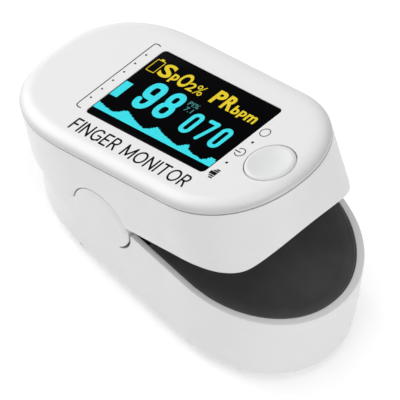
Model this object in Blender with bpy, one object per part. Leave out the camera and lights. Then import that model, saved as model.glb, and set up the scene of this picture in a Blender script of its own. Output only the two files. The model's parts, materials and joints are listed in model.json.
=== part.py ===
"""Fingertip pulse oximeter: a spring clip of two plastic halves on one hinge pin.

The lower half stands flat on z = 0, with the finger inlet at +X and the hinge pin along Y.
Sizes are in millimetres here and become metres in place(). Every piece is drawn with the clip
shut. The pieces of the upper half hang on an empty on the hinge axis, which holds them open.
"""

import math

import bmesh
import bpy
from mathutils import Matrix, Vector

MM = 0.001

# The clip as it rests: open as far as its rear stop lets it.
OPEN_DEG = 24.0
DATUM_X = 0.25  # where the middle of the open object lies, in the x that the drawing uses
PIVOT_X, PIVOT_Z = -1.3, 14.2
PIN_RADIUS, PIN_HOLE = 0.8, 0.95

# Outlines seen from above: rear end, front end, half width, then depth and power of each cap.
UPPER = {
    "rear": -29.32, "front": 30.68, "half": 15.6,
    "rear_cap": (20.75, 2.54), "front_cap": (15.5, 2.15),
}
LOWER = {
    "rear": -28.4, "front": 33.4, "half": 15.7,
    "rear_cap": (21.0, 2.5), "front_cap": (19.5, 2.07),
}
CAP_STEPS = 14

# Heights with the clip shut.
RIM_Z = 17.5
BAND_LOW, BAND_HIGH = 16.55, 28.55
BAND_FLARE = 0.3
BAND_EDGE = (
    (-6.0, 17.6), (14.0, 17.6), (17.0, 17.55), (19.0, 17.35), (20.7, 17.05), (22.5, 16.75),
    (24.5, 16.6), (26.0, BAND_LOW),
)
SEAM = 0.2
TOP_Z = 30.45
PLATE_UNDER = 28.95
SHOULDER = 2.4
REAR_EDGE = ((-5.0, 18.62), (-40.0, 19.96))
REAR_STOP_GAP = 0.35

# Hinge ears of the lower shell, and the relief slot beside each.
EAR_X, EAR_Z, EAR_RADIUS = -4.8, 14.5, 6.45
EAR_INNER, EAR_PROUD = 14.4, 0.35
EAR_CLEARANCE = 0.3
SLOT_PATH = ((1.15, 18.2), (1.5, 16.6), (1.5, 15.4), (1.1, 14.1), (0.4, 13.0), (-0.4, 12.2))
SLOT_WIDTHS = (0.42, 0.42, 0.36, 0.5, 0.4, 0.15)
LUG_INNER, LUG_OUTER, LUG_RADIUS = 11.9, 13.7, 2.6

# Window and button of the top face.
WINDOW = (-11.8, 16.7, -8.1, 9.9)
PANEL = (-11.35, 16.4, -8.1, 9.65)
WINDOW_GAP = 0.15
BUTTON_X, BUTTON_Y, BUTTON_RADIUS = 24.5, -0.4, 4.27
BUTTON_GAP = 0.22

# Display module, a stack under the window, and the board that carries it.
DISPLAY_LIP, BRACKET_HALF = 2.5, 8.7
BOARD_LOW, BOARD_HIGH, CHIP_TOP = 24.6, 25.6, 24.5
BOARD_HALF_OUTLINE = ((-18.0, 7.0), (-16.0, 8.9), (20.0, 8.9), (28.0, 5.0))

# Finger tunnel.
PAD_START = 4.2
ARCH_EDGE, ARCH_EDGE_Z, ARCH_MID_Z = 11.5, 16.6, 20.6
PAD_EDGE, PAD_EDGE_Z, PAD_MID_Z = 12.3, 17.45, 20.3
PAD_RIM_Z = RIM_Z - 0.15
SENSOR_X, WINDOW_RADIUS, SENSOR_HOLE = 14.0, 2.5, 2.75

# Power: two AAA cells side by side.
CELL_RADIUS, CELL_BODY, CELL_TIP, TIP_RADIUS = 5.25, 43.5, 1.0, 1.9
CELL_Y, CELL_Z = 5.4, 7.05
CELL_NEAR_X, CELL_FAR_X = -17.7, -20.2
FLOOR = 1.5
DOOR_THICK, DOOR_DEPTH = 0.85, 1.0
DOOR_REAR, DOOR_HALF = -19.2, 11.3
BAY = (-21.8, 18.0, 11.7, 0.8)
ROOF_Z, ROOF_THICK, COVER_TOP, COVER_THICK = 12.5, 0.5, 9.0, 0.7
CONTACT_REAR_X, CONTACT_FRONT_X, CONTACT_THICK = -20.9, 27.4, 0.3
CONTACT_Y, CONTACT_Z = (1.6, 8.6), (3.6, 10.4)

# Screws: name, x, y and, in the lower half, the top of the post.
SCREWS_LOWER = (
    ("front", 29.6, 0.0, 12.5), ("rear_near", -23.9, -4.4, 8.3), ("rear_far", -23.9, 4.4, 8.3),
)
SCREWS_UPPER = (
    ("rear_near", -16.0, -11.4), ("rear_far", -16.0, 11.4),
    ("front_near", 15.0, -12.0), ("front_far", 15.0, 12.0),
)
SCREW_BORE, SCREW_SHANK, POST_LOWER, POST_UPPER = 1.05, 0.85, 1.7, 2.25

# Flexible cable between the halves: (x, z) points, each half's with the clip shut.
FLEX_WIDTH, FLEX_THICK = 4.0, 0.14
FLEX_LOWER = ((0.3, 15.9), (0.45, 14.4), (0.9, 13.5), (1.9, 13.2), (5.8, 13.2))
FLEX_UPPER = ((-0.8, 16.4), (-0.7, 19.0), (0.3, 21.8), (0.3, 23.3), (0.2, 24.2))


# --- scene and materials ---------------------------------------------------------------------

def clear_scene():
    for item in list(bpy.data.objects):
        bpy.data.objects.remove(item, do_unlink=True)


def material(name, colour, roughness, metallic=0.0):
    made = bpy.data.materials.new(name)
    made.use_nodes = True
    shader = made.node_tree.nodes["Principled BSDF"]
    shader.inputs["Base Color"].default_value = (*colour, 1.0)
    shader.inputs["Roughness"].default_value = roughness
    shader.inputs["Metallic"].default_value = metallic
    return made


FINISH = {
    "white": ((0.80, 0.80, 0.80), 0.28, 0.0),
    "face": ((0.86, 0.86, 0.86), 0.18, 0.0),
    "frame": ((0.55, 0.55, 0.55), 0.45, 0.0),
    "rubber": ((0.03, 0.03, 0.03), 0.65, 0.0),
    "lens": ((0.004, 0.004, 0.005), 0.05, 0.0),
    "foam": ((0.05, 0.05, 0.05), 0.9, 0.0),
    "board": ((0.02, 0.16, 0.06), 0.4, 0.0),
    "chip": ((0.02, 0.02, 0.02), 0.5, 0.0),
    "flex": ((0.45, 0.22, 0.04), 0.4, 0.0),
    "steel": ((0.6, 0.6, 0.6), 0.3, 1.0),
    "cell": ((0.08, 0.10, 0.16), 0.3, 0.0),
    "clear": ((0.7, 0.75, 0.8), 0.05, 0.0),
}


def place(name, mesh_builder, finish, upper=None):
    """The mesh in metres as an object, on the hinge empty if it belongs to the upper half."""
    bmesh.ops.recalc_face_normals(mesh_builder, faces=mesh_builder.faces)
    origin_x, origin_z = (PIVOT_X, PIVOT_Z) if upper else (DATUM_X, 0.0)
    mesh_builder.transform(Matrix.Translation((-origin_x, 0.0, -origin_z)))
    mesh_builder.transform(Matrix.Scale(MM, 4))
    mesh = bpy.data.meshes.new(name)
    mesh_builder.to_mesh(mesh)
    mesh_builder.free()
    made = bpy.data.objects.new(name, mesh)
    bpy.context.scene.collection.objects.link(made)
    made.parent = upper
    mesh.shade_smooth()
    mesh.set_sharp_from_angle(angle=math.radians(35))
    if finish:
        mesh.materials.append(material(name, *FINISH[finish]))
    return made


def combine(target, tool, operation):
    step = target.modifiers.new(f"{operation.lower()}_{tool.name}", "BOOLEAN")
    step.operation = operation
    step.solver = "EXACT"
    step.object = tool
    tool.hide_render = True
    tool.display_type = "WIRE"


def cut(target, *tools):
    for tool in tools:
        combine(target, tool, "DIFFERENCE")


def add(target, *tools):
    for tool in tools:
        combine(target, tool, "UNION")


def keep(target, *tools):
    for tool in tools:
        combine(target, tool, "INTERSECT")


# --- shapes ----------------------------------------------------------------------------------

def loft(rings, ring_closed=False):
    """Quads between rings of equal length; the ends are capped, or joined to each other."""
    made = bmesh.new()
    rows = [[made.verts.new(point) for point in ring] for ring in rings]
    pairs = list(zip(rows, rows[1:]))
    if ring_closed:
        pairs.append((rows[-1], rows[0]))
    for low, high in pairs:
        for index, point in enumerate(low):
            after = (index + 1) % len(low)
            made.faces.new((point, low[after], high[after], high[index]))
    if not ring_closed:
        made.faces.new(rows[0])
        made.faces.new(rows[-1])
    return made


def power(value, exponent):
    return math.copysign(abs(value) ** (2.0 / exponent), value)


def outline(form, inset=0.0, rear_shift=0.0, start=None):
    """Points (x, y) round a shell: superellipse caps with straight sides between them."""
    half = form["half"] - inset
    points = []
    for end, sign, key in (("front", 1, "front_cap"), ("rear", -1, "rear_cap")):
        depth, exponent = form[key]
        shift = rear_shift if sign < 0 else 0.0
        tip = form[end] - sign * inset + shift
        centre = form[end] - sign * depth
        reach = (tip - centre) * sign
        for step in range(CAP_STEPS + 1):
            angle = math.pi * (step / CAP_STEPS - 0.5)
            x = centre + sign * reach * power(math.cos(angle), exponent)
            points.append((x, sign * half * power(math.sin(angle), exponent)))
    if start is not None:
        points = [(max(x, start), y) for x, y in points]
        points = [p for i, p in enumerate(points) if math.dist(p, points[i - 1]) > 0.05]
    return points


def rings_of(form, levels):
    """levels: (inset, z) or (inset, z, rear shift) for each ring."""
    made = []
    for inset, z, *shift in levels:
        flat = outline(form, inset, shift[0] if shift else 0.0)
        made.append([(x, y, z) for x, y in flat])
    return made


def prism(points, low, high, axis="z"):
    """A flat outline pushed along an axis: (x, y) along z, (x, z) along y, (y, z) along x."""
    def spot(a, b, along):
        return {"z": (a, b, along), "y": (a, along, b), "x": (along, a, b)}[axis]
    return loft([[spot(a, b, along) for a, b in points] for along in (low, high)])


def box(low, high):
    corners = ((low[0], low[1]), (high[0], low[1]), (high[0], high[1]), (low[0], high[1]))
    return prism(corners, low[2], high[2])


def turned(profile, centre, axis="z", sides=20):
    """A solid of revolution from (radius, height) pairs; the axis passes through centre."""
    rings = []
    for radius, height in profile:
        ring = []
        for side in range(sides):
            turn = 2 * math.pi * side / sides
            a, b = radius * math.cos(turn), radius * math.sin(turn)
            offset = {"z": (a, b, height), "y": (a, height, b), "x": (height, a, b)}[axis]
            ring.append(tuple(c + o for c, o in zip(centre, offset)))
        rings.append(ring)
    return loft(rings)


def rod(radius, low, high, centre, axis="z", sides=20):
    return turned(((radius, low), (radius, high)), centre, axis, sides)


def arc_points(radius, centre, first, last, count):
    made = []
    for step in range(count + 1):
        angle = math.radians(first + (last - first) * step / count)
        made.append((centre[0] + radius * math.cos(angle), centre[1] + radius * math.sin(angle)))
    return made


def ribbon(path, width, thickness, y=0.0):
    """A flat flexible strip whose middle line runs through (x, z) points."""
    half = thickness / 2
    sides = ([], [])
    for index, (x, z) in enumerate(path):
        before, after = path[max(index - 1, 0)], path[min(index + 1, len(path) - 1)]
        length = math.dist(before, after)
        normal = (-(after[1] - before[1]) / length, (after[0] - before[0]) / length)
        sides[0].append((x + half * normal[0], z + half * normal[1]))
        sides[1].append((x - half * normal[0], z - half * normal[1]))
    return prism(sides[0] + sides[1][::-1], y - width / 2, y + width / 2, "y")


def tube(path, radius, sides=5):
    """A round wire through 3-D points, with flat ends."""
    rings = []
    for index, point in enumerate(path):
        before, after = path[max(index - 1, 0)], path[min(index + 1, len(path) - 1)]
        along = (Vector(after) - Vector(before)).normalized()
        guide = Vector((0.0, 1.0, 0.0)) if abs(along.y) < 0.9 else Vector((1.0, 0.0, 0.0))
        first = along.cross(guide).normalized()
        second = along.cross(first)
        ring = []
        for side in range(sides):
            angle = 2 * math.pi * side / sides
            offset = radius * (math.cos(angle) * first + math.sin(angle) * second)
            ring.append(Vector(point) + offset)
        rings.append(ring)
    return loft(rings)


def opened(x, z):
    """Where a point of the shut upper half lies when the clip is open, in side view."""
    turn = math.radians(OPEN_DEG)
    dx, dz = x - PIVOT_X, z - PIVOT_Z
    return (
        PIVOT_X + dx * math.cos(turn) - dz * math.sin(turn),
        PIVOT_Z + dx * math.sin(turn) + dz * math.cos(turn),
    )


def shut(x, z):
    """Where a point of the lower half lies in the upper half's own frame when the clip is open."""
    turn = math.radians(OPEN_DEG)
    dx, dz = x - PIVOT_X, z - PIVOT_Z
    return (
        PIVOT_X + dx * math.cos(turn) + dz * math.sin(turn),
        PIVOT_Z - dx * math.sin(turn) + dz * math.cos(turn),
    )


# --- lower half ------------------------------------------------------------------------------

def ear(side):
    """Round hinge ear: flush with the wall at its foot and a little proud at its head."""
    circle = arc_points(EAR_RADIUS, (EAR_X, EAR_Z), 0, 360 - 360 / 36, 35)
    outer = []
    for x, z in circle:
        rise = (z - EAR_Z + EAR_RADIUS) / (2 * EAR_RADIUS)
        outer.append((x, side * (LOWER["half"] - 0.05 + EAR_PROUD * rise), z))
    inner = [(x, side * EAR_INNER, z) for x, z in circle]
    return place(f"tool_ear_{side}", loft([inner, outer]), None)


def relief_slot(side):
    left, right = [], []
    for index, (x, z) in enumerate(SLOT_PATH):
        before = SLOT_PATH[max(index - 1, 0)]
        after = SLOT_PATH[min(index + 1, len(SLOT_PATH) - 1)]
        length = math.dist(before, after)
        half = SLOT_WIDTHS[index] / 2
        normal = (-(after[1] - before[1]) / length * half, (after[0] - before[0]) / length * half)
        left.append((x + normal[0], z + normal[1]))
        right.append((x - normal[0], z - normal[1]))
    ends = sorted((side * (EAR_INNER - 1.0), side * (LOWER["half"] + 1.5)))
    return place(f"tool_slot_{side}", prism(left + right[::-1], *ends, "y"), None)


def lower_shell():
    levels = (
        (3.6, 0.0, 2.1), (2.3, 0.25, 2.0), (1.2, 0.95, 1.8), (0.5, 2.0, 1.6), (0.25, 3.4, 1.3),
        (0.0, 9.5, 0.0), (0.0, RIM_Z - 0.25, 0.0), (0.2, RIM_Z, 0.0),
        (0.95, RIM_Z, 0.0), (1.05, RIM_Z - 0.3, 0.0), (1.6, 3.2, 1.3), (3.2, FLOOR, 2.0),
    )
    shell = place("lower_shell", loft(rings_of(LOWER, levels)), "white")
    rear = [opened(*REAR_EDGE[0]), opened(*REAR_EDGE[1])]
    rear = [(x, z - REAR_STOP_GAP) for x, z in rear]
    sky = 60.0
    wedge = [rear[0], (rear[0][0], sky), (rear[1][0], sky), rear[1]]
    cut(shell, place("tool_rear_wedge", prism(wedge, -20, 20, "y"), None))
    add(shell, ear(-1), ear(1))
    cut(shell, relief_slot(-1), relief_slot(1))
    hole = rod(PIN_HOLE, -15.4, 15.4, (PIVOT_X, 0, PIVOT_Z), "y")
    cut(shell, place("tool_pin_bore", hole, None))
    bay = box((-18.0, -10.6, -1.0), (22.0, 10.6, 3.0))
    seat = box((DOOR_REAR - 0.25, -DOOR_HALF - 0.2, -1.0), (40.0, DOOR_HALF + 0.2, DOOR_DEPTH))
    cut(shell, place("tool_bay", bay, None), place("tool_door_seat", seat, None))
    for name, x, y, high in SCREWS_LOWER:
        post = rod(POST_LOWER, FLOOR - 0.3, high - 0.15, (x, y, 0))
        bore = rod(SCREW_BORE, FLOOR + 1.0, high + 1, (x, y, 0))
        add(shell, place(f"tool_post_{name}", post, None))
        cut(shell, place(f"tool_bore_{name}", bore, None))
    for side in (-1, 1):
        ends = sorted((side * 14.9, side * 18.0))
        notch = rod(0.8, *ends, (-8.7, 0, 2.4), "y")
        cut(shell, place(f"tool_notch_{side}", notch, None))


def screw(name, x, y, head_low, tip, upper=None):
    """A pan-head screw on a vertical axis; the tip may lie above or below its head."""
    up = 1 if tip > head_low else -1
    profile = (
        (1.2, head_low - up * 0.55), (1.7, head_low - up * 0.35), (1.7, head_low),
        (SCREW_SHANK, head_low), (SCREW_SHANK, tip - up * 0.8), (0.3, tip),
    )
    made = place(name, turned(profile, (x, y, 0), sides=12), "steel", upper)
    far = head_low - up * 0.8
    for index, (a, b) in enumerate(((0.9, 0.2), (0.2, 0.9))):
        ends = sorted((far, head_low - up * 0.2))
        slot = box((x - a, y - b, ends[0]), (x + a, y + b, ends[1]))
        cut(made, place(f"tool_{name}_{index}", slot, None, upper))


def battery_door():
    levels = ((3.6, 0.0), (2.3, 0.25), (1.35, DOOR_THICK))
    door = place("battery_door", loft(rings_of(LOWER, levels)), "white")
    limit = box((DOOR_REAR, -DOOR_HALF, -1), (45, DOOR_HALF, 2))
    keep(door, place("tool_door_limit", limit, None))
    for index in range(3):
        x = -15.5 + 1.6 * index
        groove = box((x, -4.0, -0.5), (x + 0.7, 4.0, 0.3))
        cut(door, place(f"tool_grip_{index}", groove, None))


def cell(name, x, y, towards_front):
    body = ((4.6, 0.0), (CELL_RADIUS, 0.5), (CELL_RADIUS, CELL_BODY - 0.6), (4.6, CELL_BODY))
    tip = ((TIP_RADIUS, CELL_BODY), (TIP_RADIUS, CELL_BODY + CELL_TIP))
    profile = body + tip
    if not towards_front:
        length = CELL_BODY + CELL_TIP
        profile = tuple((radius, length - along) for radius, along in profile)
    place(name, turned(profile, (x, y, CELL_Z), "x", 20), "cell")


def coil(name, start, end, y, radii=(3.6, 2.0), turns=3, wire=0.25):
    """A tapering helix along X at height CELL_Z, for a battery contact."""
    count = turns * 10
    path = []
    for step in range(count + 1):
        share = step / count
        angle = 2 * math.pi * turns * share
        radius = radii[0] + (radii[1] - radii[0]) * share
        x = start + (end - start) * share
        path.append((x, y + radius * math.cos(angle), CELL_Z + radius * math.sin(angle)))
    place(name, tube(path, wire), "steel")


def contact(name, x, y0, y1):
    sheet = box((x, y0, CONTACT_Z[0]), (x + CONTACT_THICK, y1, CONTACT_Z[1]))
    place(name, sheet, "steel")


def battery_contacts():
    inner, outer = CONTACT_Y
    contact("battery_bridge_contact", CONTACT_FRONT_X, -outer, outer)
    contact("battery_contact_near", CONTACT_REAR_X, -outer, -inner)
    contact("battery_contact_far", CONTACT_REAR_X, inner, outer)
    coil("battery_spring_near", CONTACT_REAR_X + 0.7, CELL_NEAR_X - 0.4, -CELL_Y)
    far_end = CELL_FAR_X + CELL_BODY + CELL_TIP
    coil("battery_spring_far", CONTACT_FRONT_X - 0.4, far_end + 0.4, CELL_Y)


def lower_inner_frame():
    rear, front, half, wall = BAY
    top = ROOF_Z + ROOF_THICK
    frame = place("lower_inner_frame", box((rear, -half, 1.9), (front, half, top + 0.03)), "frame")
    inside = box((rear + wall, -half + wall, 0.0), (front + 5, half - wall, ROOF_Z - 0.03))
    cut(frame, place("tool_bay_inside", inside, None))
    roof = outline(LOWER, 1.8, start=PAD_START)
    add(frame, place("tool_roof", prism(roof, ROOF_Z, top), None))
    cover = [(x, y) for x, y in outline(LOWER) if x < rear]
    cover = [(rear + 0.3, cover[0][1]), *cover, (rear + 0.3, cover[-1][1])]
    add(frame, place("tool_cover", prism(cover, COVER_TOP - COVER_THICK, COVER_TOP), None))
    hollow = ((3.6, 1.7, 2.3), (1.95, 3.3, 1.6), (1.75, RIM_Z, 0.4))
    keep(frame, place("tool_shell_hollow", loft(rings_of(LOWER, hollow)), None))
    for side in (-1, 1):
        ends = sorted((side * 7.1, side * 10.8))
        pocket = box((-4.2, ends[0], 11.0), (3.0, ends[1], 14.0))
        cut(frame, place(f"tool_spring_pocket_{side}", pocket, None))
    for name, x, y, high in SCREWS_LOWER:
        hole = rod(SCREW_BORE, high - 1, high + 1.5, (x, y, 0))
        cut(frame, place(f"tool_frame_hole_{name}", hole, None))


def lower_finger_pad():
    levels = (
        (1.4, 13.75), (1.35, PAD_RIM_Z - 0.2), (1.6, PAD_RIM_Z), (2.2, PAD_RIM_Z - 0.15),
        (3.6, 16.0), (5.2, 15.4), (7.4, 15.0), (9.5, 14.9),
    )
    rings = []
    for inset, z in levels:
        flat = outline(LOWER, inset)
        rings.append([(max(x, PAD_START + inset * 0.35), y, z) for x, y in flat])
    rings = tidy_rings(rings)
    pad = place("lower_finger_pad", loft(rings), "rubber")
    hole = rod(SENSOR_HOLE, 13, 16, (SENSOR_X, 0, 0))
    cut(pad, place("tool_detector_hole", hole, None))


def tidy_rings(rings):
    """Leaves out the places where every ring has two neighbouring points in one spot."""
    kept = []
    for index in range(len(rings[0])):
        near = [math.dist(ring[index], ring[index - 1]) for ring in rings]
        if min(near) > 0.02:
            kept.append(index)
    return [[ring[index] for index in kept] for ring in rings]


def detector():
    place("detector_board", box((6.0, -4.0, 13.1), (18.0, 4.0, 13.55)), "board")
    low, high = (SENSOR_X - 1.5, -1.5, 13.65), (SENSOR_X + 1.5, 1.5, 14.2)
    place("photodiode", box(low, high), "chip")
    place("detector_window", rod(WINDOW_RADIUS, 14.3, 14.8, (SENSOR_X, 0, 0)), "clear")
    stop = [(-11.0, 13.3), (11.0, 13.3), (11.0, 16.6), (8.0, 17.3), (-8.0, 17.3), (-11.0, 16.6)]
    place("finger_stop", prism(stop, 2.9, 3.9, "x"), "rubber")


def hinge():
    pin = ((0.5, -15.2), (PIN_RADIUS, -14.9), (PIN_RADIUS, 14.9), (0.5, 15.2))
    place("hinge_pin", turned(pin, (PIVOT_X, 0, PIVOT_Z), "y", 16), "steel")
    radius, turns, low, high = 1.5, 3.5, 7.7, 10.3
    count = int(turns * 12)
    for name, side in (("near", -1), ("far", 1)):
        path = [
            (PIVOT_X + 3.6, side * low, PIVOT_Z - 0.9), (PIVOT_X + 1.6, side * low, PIVOT_Z - 1.3),
        ]
        for step in range(count + 1):
            angle = math.radians(-70) - 2 * math.pi * turns * step / count
            y = side * (low + (high - low) * step / count)
            path.append((PIVOT_X + radius * math.cos(angle), y, PIVOT_Z + radius * math.sin(angle)))
        path.append((path[-1][0] + 1.2, side * high, path[-1][2] + 3.2))
        place(f"torsion_spring_{name}", tube(path, 0.27), "steel")


def lower_half():
    lower_shell()
    battery_door()
    cell("battery_near", CELL_NEAR_X, -CELL_Y, True)
    cell("battery_far", CELL_FAR_X, CELL_Y, False)
    battery_contacts()
    lower_inner_frame()
    lower_finger_pad()
    detector()
    hinge()
    for name, x, y, high in SCREWS_LOWER:
        seat = (ROOF_Z + ROOF_THICK if name == "front" else COVER_TOP) + 0.05
        screw(f"lower_screw_{name}", x, y, seat, seat - 6.0)
    place("flex_cable_lower", ribbon(FLEX_LOWER, FLEX_WIDTH, FLEX_THICK), "flex")


# --- upper half ------------------------------------------------------------------------------

def arch_below(name, span, edge, edge_z, mid_z, upper):
    """Tool: everything under a low arch that runs along X."""
    rise = mid_z - edge_z
    radius = (edge * edge + rise * rise) / (2 * rise)
    reach = math.degrees(math.asin(edge / radius))
    points = arc_points(radius, (0.0, mid_z - radius), 90 - reach, 90 + reach, 12)
    points += [(-edge, 0.0), (edge, 0.0)]
    return place(name, prism(points, *span, "x"), None, upper)


def upper_shell(upper):
    levels = (
        (0.0, BAND_HIGH), (-BAND_FLARE, BAND_LOW + 0.3), (-BAND_FLARE + 0.2, BAND_LOW),
        (1.5, BAND_LOW), (1.5, BAND_HIGH),
    )
    band = place("upper_shell", loft(rings_of(UPPER, levels), ring_closed=True), "white", upper)
    rear = [REAR_EDGE[0], REAR_EDGE[1], (REAR_EDGE[1][0], 5.0), (REAR_EDGE[0][0], 5.0)]
    cut(band, place("tool_rear_edge", prism(rear, -20, 20, "y"), None, upper))
    below = [*BAND_EDGE, (BAND_EDGE[-1][0], 5.0), (BAND_EDGE[0][0], 5.0)]
    cut(band, place("tool_band_edge", prism(below, -20, 20, "y"), None, upper))
    cut(band, arch_below("tool_front_arch", (18.0, 40.0), ARCH_EDGE, ARCH_EDGE_Z, ARCH_MID_Z, upper))
    notch_x, notch_z = shut(EAR_X, EAR_Z)
    for side in (-1, 1):
        ends = sorted((side * 13.9, side * 18.0))
        notch = rod(EAR_RADIUS + EAR_CLEARANCE, *ends, (notch_x, 0, notch_z), "y", 36)
        cut(band, place(f"tool_ear_notch_{side}", notch, None, upper))
    for name, x, y in SCREWS_UPPER:
        post = rod(POST_UPPER, 23.4, 28.2, (x, y, 0))
        bore = rod(SCREW_BORE, 22.0, 27.5, (x, y, 0), sides=12)
        add(band, place(f"tool_post_upper_{name}", post, None, upper))
        cut(band, place(f"tool_bore_upper_{name}", bore, None, upper))


def top_face_plate(upper):
    low = BAND_HIGH + SEAM
    levels = (
        (1.4, PLATE_UNDER), (1.4, low), (0.0, low), (0.0, low + 0.2), (0.3, low + 0.75),
        (0.95, low + 1.25), (SHOULDER - 0.6, TOP_Z - 0.12), (SHOULDER + 0.5, TOP_Z),
    )
    plate = place("top_face_plate", loft(rings_of(UPPER, levels)), "face", upper)
    x0, x1, y0, y1 = WINDOW
    gap = WINDOW_GAP
    window = box((x0 - gap, y0 - gap, 25), (x1 + gap, y1 + gap, 35))
    hole = rod(BUTTON_RADIUS + BUTTON_GAP, 25, 35, (BUTTON_X, BUTTON_Y, 0), sides=32)
    cut(plate, place("tool_window", window, None, upper))
    cut(plate, place("tool_button_hole", hole, None, upper))


def framed(name, low, high, lip, finish, upper):
    """A rectangular frame: a plate with its middle cut out."""
    plate = place(name, box(low, high), finish, upper)
    inside = box((low[0] + lip, low[1] + lip, low[2] - 1), (high[0] - lip, high[1] - lip, high[2] + 1))
    cut(plate, place(f"tool_{name}_inside", inside, None, upper))


def display(upper):
    x0, x1, y0, y1 = WINDOW
    place("display_lens", box((x0, y0, 29.4), (x1, y1, TOP_Z - 0.05)), "lens", upper)
    x0, x1, y0, y1 = PANEL
    framed(
        "display_gasket", (x0 + 0.3, y0 + 0.3, 28.65), (x1 - 0.3, y1 - 0.3, 29.3),
        DISPLAY_LIP, "foam", upper,
    )
    place("oled_panel", box((x0 + 0.4, y0 + 0.6, 27.1), (x1 - 0.4, y1 - 0.6, 28.5)), "lens", upper)
    framed(
        "oled_bracket", (x0, -BRACKET_HALF, 25.8), (x1 + 0.4, BRACKET_HALF, 26.95),
        DISPLAY_LIP, "frame", upper,
    )
    path = (
        (x0 + 0.2, 27.5), (x0 - 1.2, 27.4), (x0 - 1.8, 26.9), (x0 - 1.7, 26.2), (x0 - 1.1, 25.85),
    )
    place("oled_ribbon", ribbon(path, 10.0, 0.16), "flex", upper)


def boards(upper):
    near_side = [(x, -y) for x, y in BOARD_HALF_OUTLINE]
    board = prism(near_side + list(reversed(BOARD_HALF_OUTLINE)), BOARD_LOW, BOARD_HIGH)
    place("main_circuit_board", board, "board", upper)
    place("microcontroller", box((-8.0, -3.5, 23.55), (-1.0, 3.5, CHIP_TOP)), "chip", upper)
    place("analogue_chip", box((6.0, -2.5, 23.6), (11.0, 2.5, CHIP_TOP)), "chip", upper)
    place("crystal", box((-14.0, 2.0, 23.6), (-10.8, 4.5, CHIP_TOP)), "steel", upper)
    place("flex_connector", box((0.4, -3.0, 23.6), (2.9, 3.0, CHIP_TOP)), "frame", upper)


def button(upper):
    x, y = BUTTON_X, BUTTON_Y
    profile = (
        (1.2, 28.15), (4.58, 28.15), (4.58, 28.75), (BUTTON_RADIUS, 28.78),
        (BUTTON_RADIUS, 30.3), (BUTTON_RADIUS - 0.25, 30.58), (BUTTON_RADIUS - 0.7, 30.62),
        (2.4, 30.42), (0.8, 30.3),
    )
    place("power_button", turned(profile, (x, y, 0), sides=32), "face", upper)
    body = box((x - 2.2, y - 2.2, 25.75), (x + 2.2, y + 2.2, 27.4))
    switch = place("tactile_switch", body, "chip", upper)
    hole = rod(1.2, 26.4, 28, (x, y, 0), sides=16)
    cut(switch, place("tool_plunger_hole", hole, None, upper))
    place("switch_plunger", rod(1.0, 27.1, 28.05, (x, y, 0), sides=16), "chip", upper)


def upper_inner_frame(upper):
    low, high = 22.2, 23.2
    plate = prism(outline(UPPER, 1.8), low, high)
    frame = place("upper_inner_frame", plate, "frame", upper)
    for side in (-1, 1):
        ends = sorted((side * LUG_INNER, side * LUG_OUTER))
        half = LUG_RADIUS
        foot = arc_points(half, (PIVOT_X, PIVOT_Z), 180, 360, 8)
        lug = [*foot, (PIVOT_X + half, low + 0.3), (PIVOT_X - half, low + 0.3)]
        add(frame, place(f"tool_lug_{side}", prism(lug, *ends, "y"), None, upper))
    bore = rod(PIN_HOLE, -18, 18, (PIVOT_X, 0, PIVOT_Z), "y")
    cut(frame, place("tool_lug_bore", bore, None, upper))
    passage = box((PIVOT_X - 0.3, -2.6, 20), (PIVOT_X + 3.0, 2.6, 25))
    cut(frame, place("tool_cable_passage", passage, None, upper))
    for name, x, y in SCREWS_UPPER:
        hole = rod(SCREW_BORE, 20, 25, (x, y, 0), sides=12)
        cut(frame, place(f"tool_frame_hole_upper_{name}", hole, None, upper))


def upper_finger_pad(upper):
    block = prism(outline(UPPER, 1.8, start=PAD_START), PAD_EDGE_Z + 0.5, 21.4)
    pad = place("upper_finger_pad", block, "rubber", upper)
    arch = arch_below("tool_pad_arch", (0.0, 40.0), PAD_EDGE, PAD_EDGE_Z, PAD_MID_Z, upper)
    hole = rod(SENSOR_HOLE, 17, 23, (SENSOR_X, 0, 0))
    cut(pad, arch, place("tool_emitter_hole", hole, None, upper))


def emitter(upper):
    place("emitter_window", rod(WINDOW_RADIUS, 20.55, 21.2, (SENSOR_X, 0, 0)), "clear", upper)
    low, high = (SENSOR_X - 1.6, -1.3, 21.3), (SENSOR_X + 1.6, 1.3, 22.0)
    place("led_emitter", box(low, high), "clear", upper)


def upper_half():
    upper = bpy.data.objects.new("hinge_axis", None)
    bpy.context.scene.collection.objects.link(upper)
    upper.location = ((PIVOT_X - DATUM_X) * MM, 0.0, PIVOT_Z * MM)
    upper.rotation_euler = (0.0, -math.radians(OPEN_DEG), 0.0)
    upper_shell(upper)
    top_face_plate(upper)
    display(upper)
    boards(upper)
    button(upper)
    upper_inner_frame(upper)
    upper_finger_pad(upper)
    emitter(upper)
    for name, x, y in SCREWS_UPPER:
        screw(f"upper_screw_{name}", x, y, 22.1, 27.2, upper)
    place("flex_cable_upper", ribbon(FLEX_UPPER, FLEX_WIDTH, FLEX_THICK), "flex", upper)


clear_scene()
lower_half()
upper_half()
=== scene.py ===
"""Looks for the fingertip pulse oximeter: fine shells, rubber, lens, readout and print.

Lengths are in millimetres here. Pieces of the upper half are drawn with the clip shut, and OPENING
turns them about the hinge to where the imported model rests.
"""

import json
import math

import bmesh
import bpy
import numpy as np
from mathutils import Matrix, Vector


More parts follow.
